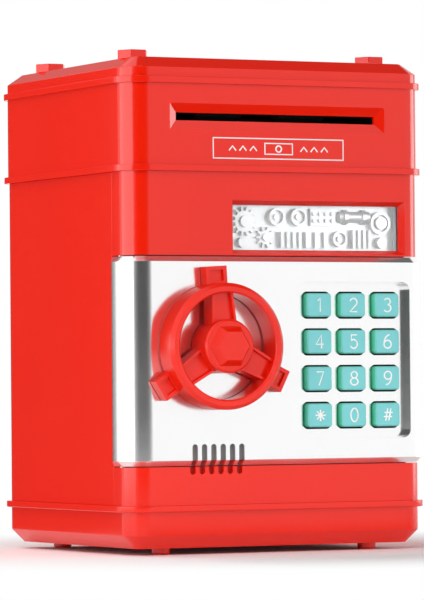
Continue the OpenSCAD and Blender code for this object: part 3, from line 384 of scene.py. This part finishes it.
def natural_acetal():
    finish = Finish("natural_acetal")
    drift = finish.noise(180, detail=2)
    return finish.done(
        base_color=finish.between(drift, (0.74, 0.74, 0.70), (0.82, 0.82, 0.79)),
        roughness=finish.between(drift, 0.38, 0.5),
        normal=finish.bump(drift, strength=0.05, depth=0.05 * MM),
    )


def drawn_steel():
    finish = Finish("drawn_steel")
    lines = finish.noise(900, detail=3, stretch=(0.06, 1, 1))
    return finish.done(
        base_color=finish.between(lines, (0.50, 0.51, 0.52), (0.66, 0.67, 0.68)),
        metallic=1.0,
        roughness=finish.between(lines, 0.24, 0.40),
        normal=finish.bump(lines, strength=0.10, depth=0.04 * MM),
    )


def turned_brass():
    finish = Finish("turned_brass")
    lines = finish.noise(1100, detail=2, stretch=(1, 0.1, 1))
    return finish.done(
        base_color=finish.between(lines, (0.60, 0.42, 0.15), (0.74, 0.55, 0.23)),
        metallic=1.0,
        roughness=finish.between(lines, 0.22, 0.36),
        normal=finish.bump(lines, strength=0.10, depth=0.04 * MM),
    )


def ground_rubber():
    finish = Finish("ground_rubber")
    grain = finish.noise(2200, detail=4, roughness=0.7)
    return finish.done(
        base_color=finish.between(grain, (0.018, 0.018, 0.018), (0.040, 0.040, 0.040)),
        roughness=finish.between(grain, 0.72, 0.9),
        normal=finish.bump(grain, strength=0.35, depth=0.1 * MM),
    )


def dome_silicone():
    finish = Finish("dome_silicone")
    drift = finish.noise(260, detail=2)
    return finish.done(
        base_color=finish.between(drift, (0.36, 0.38, 0.40), (0.46, 0.48, 0.50)),
        roughness=finish.between(drift, 0.55, 0.7),
        normal=finish.bump(drift, strength=0.06, depth=0.05 * MM),
    )


def solder_mask():
    finish = Finish("solder_mask")
    traces = finish.node(
        "ShaderNodeTexBrick",
        {"offset": 0.5, "squash": 1.0},
        {
            "Vector": finish.place(),
            "Color1": (0.022, 0.170, 0.075, 1),
            "Color2": (0.030, 0.210, 0.095, 1),
            "Mortar": (0.016, 0.110, 0.050, 1),
            "Scale": 160.0,
            "Mortar Size": 0.06,
        },
    )
    grain = finish.noise(1500, detail=2)
    return finish.done(
        base_color=traces,
        roughness=finish.between(grain, 0.28, 0.42),
        normal=finish.bump(grain, strength=0.05, depth=0.04 * MM),
    )


def cell_jacket():
    finish = Finish("cell_jacket")
    bands = finish.noise(34, detail=0, stretch=(1, 0.01, 0.01))
    return finish.done(
        base_color=finish.between(bands, (0.30, 0.17, 0.03), (0.62, 0.42, 0.12)),
        metallic=0.6,
        roughness=finish.between(bands, 0.26, 0.36),
    )


def coil_lacquer():
    finish = Finish("coil_lacquer")
    grain = finish.noise(700, detail=3)
    return finish.done(
        base_color=finish.between(grain, (0.055, 0.058, 0.064), (0.085, 0.089, 0.097)),
        roughness=finish.between(grain, 0.34, 0.5),
        normal=finish.bump(grain, strength=0.08, depth=0.05 * MM),
    )


FINISHES = {
    "red_plastic": moulded_red("moulded_red", glossy=0.09, dull=0.14),
    "silver_plastic": silver_lacquer(),
    "teal_plastic": key_teal("key_teal", (0.175, 0.59, 0.605), (0.21, 0.64, 0.655)),
    "clear_plastic": clear_styrene(),
    "relief_plastic": plated_relief(),
    "white_plastic": natural_acetal(),
    "black_plastic": black_plastic_and_gap_shade(),
    "steel": drawn_steel(),
    "coil_housing": coil_lacquer(),
    "brass": turned_brass(),
    "roller_rubber": ground_rubber(),
    "silicone": dome_silicone(),
    "circuit_board": solder_mask(),
    "cell_wrap": cell_jacket(),
}
WHEEL_RED = moulded_red("wheel_red", glossy=0.22, dull=0.28)
PRINT = printed_white()
# Painted shade for the sound slots: a dark grey, and a darker red than the moulding
GREY_SLOT_SHADE = slot_shade_finish("grey_slot_shade", (0.19, 0.185, 0.18), (0.25, 0.245, 0.24))
RED_SLOT_SHADE = slot_shade_finish("red_slot_shade", (0.42, 0.006, 0.006), (0.50, 0.009, 0.008))
# Painted shading: the keys' flanks are coloured a greener teal than their fronts
KEY_FLANK_SHADE = key_teal("key_flank_shade", (0.11, 0.70, 0.44), (0.14, 0.76, 0.49))


# Modelling by hand


def take(piece):
    """Makes a piece the only selected and active one."""
    if bpy.context.object and bpy.context.object.mode != "OBJECT":
        bpy.ops.object.mode_set(mode="OBJECT")
    bpy.ops.object.select_all(action="DESELECT")
    piece.select_set(True)
    bpy.context.view_layer.objects.active = piece


def moulding(node, name):
    """A copy of a CAD piece as one clean mesh, which takes the piece's place."""
    piece = bpy.data.objects.new(name, frame["nodes"][node].data.copy())
    bpy.context.scene.collection.objects.link(piece)
    take(piece)
    bpy.ops.mesh.customdata_custom_splitnormals_clear()
    bpy.ops.object.mode_set(mode="EDIT")
    bpy.ops.mesh.select_all(action="SELECT")
    bpy.ops.mesh.remove_doubles(threshold=MERGE)
    bpy.ops.mesh.dissolve_limited(angle_limit=math.radians(LEVEL))
    bpy.ops.object.mode_set(mode="OBJECT")
    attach(piece, BODY_OF[node])
    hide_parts(node)
    return piece


def round_edges(piece, width, chosen, segments=4):
    """Rounds the outward edges whose middle is chosen."""
    take(piece)
    bpy.ops.object.mode_set(mode="EDIT")
    bpy.ops.mesh.select_mode(type="EDGE")
    bpy.ops.mesh.select_all(action="DESELECT")
    mesh = bmesh.from_edit_mesh(piece.data)
    for edge in mesh.edges:
        if not edge.is_manifold or edge.calc_face_angle() < math.radians(ROUND_FROM):
            continue
        if edge.is_convex and chosen((edge.verts[0].co + edge.verts[1].co) / 2):
            edge.select_set(True)
    bmesh.update_edit_mesh(piece.data)
    bpy.ops.mesh.bevel(offset=width, segments=segments, profile=0.5, affect="EDGES", clamp_overlap=True)
    bpy.ops.object.mode_set(mode="OBJECT")


def pick_faces(piece, chosen):
    """Opens a piece for editing, with only the chosen faces selected."""
    take(piece)
    bpy.ops.object.mode_set(mode="EDIT")
    bpy.ops.mesh.select_mode(type="FACE")
    bpy.ops.mesh.select_all(action="DESELECT")
    mesh = bmesh.from_edit_mesh(piece.data)
    for face in mesh.faces:
        face.select_set(chosen(face))
    bmesh.update_edit_mesh(piece.data)


def fill_openings(piece):
    take(piece)
    bpy.ops.object.mode_set(mode="EDIT")
    bpy.ops.mesh.select_all(action="SELECT")
    bpy.ops.mesh.fill_holes(sides=0)
    bpy.ops.object.mode_set(mode="OBJECT")


def smooth(piece):
    """Smooth shading over the rounded edges, with the flats kept flat."""
    take(piece)
    bpy.ops.object.shade_smooth_by_angle(angle=math.radians(SMOOTH_TO))
    even = piece.modifiers.new("flats", "WEIGHTED_NORMAL")
    even.keep_sharp = True
    bpy.ops.object.modifier_apply(modifier=even.name)


def finish_piece(piece, slot, material=None):
    piece.data.materials.clear()
    piece.data.materials.append(material or FINISHES[slot])


# Shells


def outside_head(spot):
    return (
        abs(spot.x) > HEAD_HIGH.x - HEAD_SKIN
        or abs(spot.y - MID_Y) > HEAD_HIGH.y - MID_Y - HEAD_SKIN
        or spot.z > HEAD_HIGH.z - HEAD_CAP
    )


def outside_walls(spot):
    return (
        abs(spot.x) > BODY_HIGH.x - BODY_SKIN
        or abs(spot.y - MID_Y) > BODY_HIGH.y - MID_Y - BODY_SKIN
    )


def red_shells():
    for node, width, chosen in (
        ("head_shell", ROUND, outside_head),
        ("rear_shell", SEAM_ROUND, outside_walls),
        ("front_frame", SEAM_ROUND, outside_walls),
        ("base_tray", ROUND, outside_walls),
    ):
        piece = moulding(node, node + "_moulding")
        round_edges(piece, width, chosen)
        smooth(piece)
        finish_piece(piece, "red_plastic")


def in_sound_slots(spot):
    half = (VENT_COUNT - 1) / 2 * VENT_STEP + VENT_W / 2 + SLACK
    return abs(spot.x - VENT_X) < half and spot.z < DOOR_LOW.z + VENT_H + SLACK


def in_key_holes(spot):
    return (
        KEYS_LOW.x < spot.x < KEYS_HIGH.x
        and KEYS_LOW.z < spot.z < KEYS_HIGH.z
        and POCKET_Y + SLACK < spot.y < POCKET_Y + WALL - SLACK
    )


def part_slot_walls(piece):
    """Parts the sound slots' side walls at the height of the door's floor."""
    pick_faces(
        piece,
        lambda face: abs(face.normal.x) > SQUARE_ON and in_sound_slots(face.calc_center_median()),
    )
    bpy.ops.mesh.bisect(plane_co=(0, 0, DOOR_LOW.z + WALL), plane_no=(0, 0, 1))
    bpy.ops.object.mode_set(mode="OBJECT")


def silver_door():
    """The door is lacquered outside only: the slots' lower ends are bare red. The key holes' walls are
    black as painted shade, so the gaps round the keys look dark.
    """
    piece = moulding("door_shell", "door_moulding")
    part_slot_walls(piece)
    round_edges(piece, DOOR_ROUND, lambda spot: spot.y < POCKET_Y + SLACK)
    smooth(piece)
    finish_piece(piece, "silver_plastic")
    piece.data.materials.append(FINISHES["red_plastic"])
    piece.data.materials.append(FINISHES["black_plastic"])
    for face in piece.data.polygons:
        low_wall = face.center.z < DOOR_LOW.z + WALL and abs(face.normal.x) > SQUARE_ON
        if low_wall and in_sound_slots(face.center):
            face.material_index = 1
        # painted shade: the key holes' walls take the black finish
        elif in_key_holes(face.center):
            face.material_index = 2


def slot_fillers(name, set_back, flat_end, round_end, slot, shade_material, body):
    """A plate at the bottom of each sound slot, with the slot's round end, coloured dark as painted shade.
    """
    width = VENT_W - SCREEN_GAP
    left = VENT_X - (VENT_COUNT - 1) / 2 * VENT_STEP
    bpy.ops.object.select_all(action="DESELECT")
    spot = Vector((left, set_back + SCREEN_T / 2, (flat_end + round_end) / 2))
    bpy.ops.mesh.primitive_cube_add(size=1, location=spot)
    first = bpy.context.object
    first.scale = (width, SCREEN_T, abs(round_end - flat_end))
    bpy.ops.object.transform_apply(location=True, rotation=True, scale=True)
    round_edges(
        first,
        SCREEN_END * width,
        lambda edge: abs(edge.z - round_end) < SLACK and abs(edge.x - left) > width / 4,
        segments=8,
    )
    smooth(first)
    finish_piece(first, slot, shade_material)
    for count in range(VENT_COUNT):
        piece = first
        if count:
            piece = bpy.data.objects.new(name, first.data.copy())
            bpy.context.scene.collection.objects.link(piece)
            take(piece)
            piece.location.x = count * VENT_STEP
            bpy.ops.object.transform_apply(location=True, rotation=False, scale=False)
        piece.name = "%s_%d" % (name, count + 1)
        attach(piece, body)


def sound_slots():
    """Painted shade: dark grey screens in the door's slots and dark red ones in the frame's, set back from
    the faces.
    """
    slot_fillers(
        "door_slot_shade",
        DOOR_LOW.y + DOOR_SCREEN_IN,
        DOOR_LOW.z + WALL,
        DOOR_LOW.z + VENT_H,
        "silver_plastic",
        GREY_SLOT_SHADE,
        BODY_OF["door_shell"],
    )
    slot_fillers(
        "frame_slot_shade",
        FRAME_LOW.y + FRAME_SCREEN_IN,
        DOOR_LOW.z - DOOR_GAP,
        DOOR_LOW.z - DOOR_GAP - VENT_DROP,
        "red_plastic",
        RED_SLOT_SHADE,
        BODY_OF["front_frame"],
    )


def red_wheel():
    piece = moulding("handwheel", "handwheel_moulding")
    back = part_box("handwheel")[1].y - WHEEL_BACK
    round_edges(piece, ROUND, lambda spot: spot.y < back)
    smooth(piece)
    finish_piece(piece, "red_plastic", WHEEL_RED)


def keys():
    for node, strokes in LEGENDS.items():
        low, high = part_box(node)
        piece = moulding(node, node + "_cap")
        round_edges(piece, ROUND, lambda spot: spot.y < low.y + KEY_FRONT)
        smooth(piece)
        finish_piece(piece, "teal_plastic")
        piece.data.materials.append(KEY_FLANK_SHADE)
        piece.data.materials.append(FINISHES["black_plastic"])
        for face in piece.data.polygons:
            # painted shade: the flange faces are black, so the gaps round the keys look dark
            if face.center.y > high.y - KEY_FLANGE:
                face.material_index = 2
            # painted shading: faces that look sideways take the greener flank colour
            elif abs(face.normal.y) < ALONGSIDE:
                face.material_index = 1
        middle = Vector(((low.x + high.x) / 2, low.y, (low.z + high.z) / 2))
        printed_lines(node + "_legend", BODY_OF[node], strokes, middle)


def on_dome(face, foot):
    off = face.calc_center_median() - foot
    return off.y < -SLACK and max(abs(off.x), abs(off.z)) < DOME_R


def key_mat():
    """The mat under the keys, parted into its sheet and its domes."""
    sheet = moulding("keypad_mat", "keypad_mat_sheet")
    finish_piece(sheet, "silicone")
    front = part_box("keypad_board")[0].y - MAT_T
    for node in LEGENDS:
        low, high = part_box(node)
        foot = Vector(((low.x + high.x) / 2, front, (low.z + high.z) / 2))
        pick_faces(sheet, lambda face: on_dome(face, foot))
        bpy.ops.mesh.separate(type="SELECTED")
        bpy.ops.object.mode_set(mode="OBJECT")
        dome = next(piece for piece in bpy.context.selected_objects if piece != sheet)
        dome.name = node + "_dome"
        fill_openings(dome)
        smooth(dome)
        node + "_press"
        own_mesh(dome)
    fill_openings(sheet)


def printed_lines(name, body, strokes, spot):
    """Lines of white print on a face that looks forward."""
    curve = bpy.data.curves.new(name, "CURVE")
    curve.dimensions = "3D"
    curve.bevel_depth = STROKE / 2 * MM
    curve.bevel_resolution = 1
    curve.use_fill_caps = True
    for points in strokes:
        closed = math.dist(points[0], points[-1]) < STROKE / 10
        line = points[:-1] if closed else points
        spline = curve.splines.new("POLY")
        spline.points.add(len(line) - 1)
        for point, (x, z) in zip(spline.points, line):
            point.co = (x * MM, 0, z * MM, 1)
        spline.use_cyclic_u = closed
    drawn = bpy.data.objects.new(name, curve)
    bpy.context.scene.collection.objects.link(drawn)
    take(drawn)
    bpy.ops.object.convert(target="MESH")
    piece = bpy.context.object
    piece.scale.y = 2 * PRINT_RISE / STROKE
    piece.location = spot
    bpy.ops.object.transform_apply(location=True, rotation=True, scale=True)
    finish_piece(piece, "white_plastic", PRINT)
    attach(piece, body)


def oblong(wide, tall):
    """A closed outline about the middle, from its half sizes."""
    return [(-wide, -tall), (wide, -tall), (wide, tall), (-wide, tall), (-wide, -tall)]


def slot_mark():
    """A plain sign under the bill slot: a framed bill between arrows that point to the slot."""
    strokes = [
        oblong(SIGN_W, SIGN_H),
        oblong(BILL_W, BILL_H),
        arc(0, 0, BILL_DOT, BILL_DOT, 0, 360),
    ]
    for side in (-1, 1):
        for step in range(ARROWS):
            x = side * (ARROW_FIRST + ARROW_STEP * step)
            strokes.append([(x - ARROW_W, -ARROW_H), (x, ARROW_H), (x + ARROW_W, -ARROW_H)])
    spot = Vector((0, HEAD_LOW.y + SIGN_IN, HEAD_LOW.z + SIGN_UP))
    printed_lines("slot_mark", BODY_OF["head_shell"], strokes, spot)


def dress_nodes():
    """Finishes for the CAD pieces that show as they are."""
    for subpart in frame["record"]["subparts"]:
        node = subpart["node"]
        material = FINISHES[subpart["material_slot"]]
        mesh = frame["nodes"][node].data
        mesh.materials.clear()
        mesh.materials.append(material)


# Studio, with its lamps in watts

SKY_FILL = 0.29
FLOOR_SIZE = 8
FADE_FROM, FADE_TO = 0.10, 0.22
MIDDLE = Vector((0, 0, 0.1))
STRIP_Z = Vector((0, 0, 0.15))
LOW_Z = Vector((0, 0, 0.03))
CARD_Z = Vector((0, 0, 0.5))
SIDE_MIDDLE = Vector((0.01, 0.005, 0.12))

# Camera, fitted to the housing's edges: lens in millimetres, angles in degrees
LENS = 251.9
SENSOR = 36
SIGHT_END = 20
EYE = (-0.7532, -1.48535, 0.0637)
HEADING, RISE, ROLL = 26.78, 1.2, -0.5


def lamp(name, size, watts, spot, aim, mirrored=True, spread=180):
    """A soft lamp; the spread, in degrees, narrows its beam as a grid does."""
    light = bpy.data.lights.new(name, "AREA")
    light.spread = math.radians(spread)
    light.shape = "RECTANGLE"
    light.size, light.size_y = size
    light.energy = watts
    lamp_object = bpy.data.objects.new(name, light)
    lamp_object.location = spot
    lamp_object.rotation_euler = (Vector(aim) - Vector(spot)).to_track_quat("-Z", "Y").to_euler()
    lamp_object.visible_glossy = mirrored
    bpy.context.scene.collection.objects.link(lamp_object)


def card(name, size, spot, aim, shade, end_shade=None):
    """A grey card that only the reflections see; its ends can have another shade than its middle."""
    bpy.ops.object.select_all(action="DESELECT")
    bpy.ops.mesh.primitive_plane_add(size=1, location=spot)
    panel = bpy.context.object
    panel.name = name
    panel.scale = (size[0], size[1], 1)
    panel.rotation_euler = (Vector(aim) - Vector(spot)).to_track_quat("Z", "Y").to_euler()
    bpy.ops.object.transform_apply(location=True, rotation=True, scale=True)
    panel.visible_camera = False
    panel.visible_shadow = False
    panel.visible_diffuse = False
    felt = Finish(name + "_felt")
    across = felt.node("ShaderNodeSeparateXYZ", None, {0: felt.node("ShaderNodeTexCoord", output="UV")})
    off_middle = across * 2 - 1
    square = off_middle * off_middle
    grey = felt.between(square * square, (shade,) * 3, (end_shade or shade,) * 3)
    felt.feed(
        felt.tree.nodes["Material Output"].inputs["Surface"],
        felt.node("ShaderNodeEmission", None, {"Color": grey, "Strength": 1.0}),
    )
    panel.data.materials.append(felt.material)


def floor():
    """White paper that keeps the shadow near the object and runs out into the white around it."""
    bpy.ops.object.select_all(action="DESELECT")
    bpy.ops.mesh.primitive_plane_add(size=FLOOR_SIZE)
    sheet = bpy.context.object
    sheet.name = "floor"
    paper = Finish("floor_paper")
    fibre = paper.noise(400, detail=3)
    paper.done(base_color=paper.between(fibre, (0.92, 0.92, 0.92), (0.95, 0.95, 0.95)), roughness=0.8)
    away = paper.node("ShaderNodeVectorMath", {"operation": "LENGTH"}, {0: paper.place()}, output="Value")
    fade = paper.node(
        "ShaderNodeMapRange",
        {"interpolation_type": "SMOOTHSTEP"},
        {"Value": away, "From Min": FADE_FROM, "From Max": FADE_TO},
    )
    white = paper.node("ShaderNodeEmission", None, {"Color": (1, 1, 1, 1), "Strength": 1.0})
    matt = Value(paper, paper.shader.outputs[0])
    mixed = paper.node("ShaderNodeMixShader", None, {0: fade * paper.shown(), 1: matt, 2: white})
    paper.feed(paper.tree.nodes["Material Output"].inputs["Surface"], mixed)
    sheet.data.materials.append(paper.material)


def around(turn, rise, reach):
    """A place round the object, with the turn to the left of the front and the rise in degrees."""
    turn, rise = math.radians(turn), math.radians(rise)
    flat = reach * math.cos(rise)
    return Vector((-flat * math.sin(turn), -flat * math.cos(turn), reach * math.sin(rise)))


def studio():
    floor()
    world = bpy.data.worlds.new("studio")
    bpy.context.scene.world = world
    world.use_nodes = True
    sky = Tree(world.node_tree)
    background = world.node_tree.nodes["Background"]
    background.inputs["Color"].default_value = (1, 1, 1, 1)
    sky.feed(background.inputs["Strength"], sky.shown() * (1.0 - SKY_FILL) + SKY_FILL)

    lamp("strip_left", (1.45, 0.3), 3.0, around(93, 0, 1.0) + STRIP_Z, STRIP_Z)
    lamp("strip_right", (0.5, 0.3), 1.6, around(-87, 0, 1.0) + STRIP_Z, STRIP_Z)
    lamp("softbox_behind", (0.9, 0.7), 5.5, around(155, 50, 1.1) + MIDDLE, MIDDLE, mirrored=False)
    lamp("softbox_right", (0.9, 0.9), 6.0, around(-45, 4, 1.3) + MIDDLE, MIDDLE, mirrored=False)
    lamp("strip_low", (0.9, 0.05), 0.05, around(-15, 0, 0.6) + LOW_Z, LOW_Z, mirrored=False, spread=20)
    lamp("softbox_front", (0.6, 0.5), 3.8, around(45, 30, 0.9) + MIDDLE, MIDDLE, mirrored=False)

    card("camera_card", (1.38, 1.0), around(19.5, 0, 0.9) + CARD_Z, CARD_Z, shade=0.025, end_shade=0.9)
    card("side_card", (0.178, 0.24), around(153, 0, 0.2) + SIDE_MIDDLE, SIDE_MIDDLE, shade=0.12)
    card("top_card", (1.2, 2.0), (0.7, 0.5, 1.3), (0.7, 0.5, 0), shade=0.1)
    card("back_card", (0.7, 0.5), (0.13, 1.0, 0.65), (0, 0, 0.19), shade=0.3)
    card("floor_card", (0.3, 0.13), (0.095, -0.165, 0.001), (0.095, -0.165, 1), shade=0.03)


def camera():
    view = bpy.data.cameras.new("camera")
    view.lens = LENS
    view.sensor_width = SENSOR
    view.clip_end = SIGHT_END
    eye = bpy.data.objects.new("camera", view)
    level = Euler((math.radians(90 + RISE), 0, -math.radians(HEADING))).to_matrix()
    turn = level @ Matrix.Rotation(math.radians(ROLL), 3, "Z")
    eye.location = EYE
    eye.rotation_euler = turn.to_euler()
    bpy.context.scene.collection.objects.link(eye)
    bpy.context.scene.camera = eye
    bpy.context.scene.view_settings.view_transform = "Standard"


dress_nodes()
red_shells()
silver_door()
sound_slots()
red_wheel()
keys()
key_mat()
slot_mark()
studio()
camera()
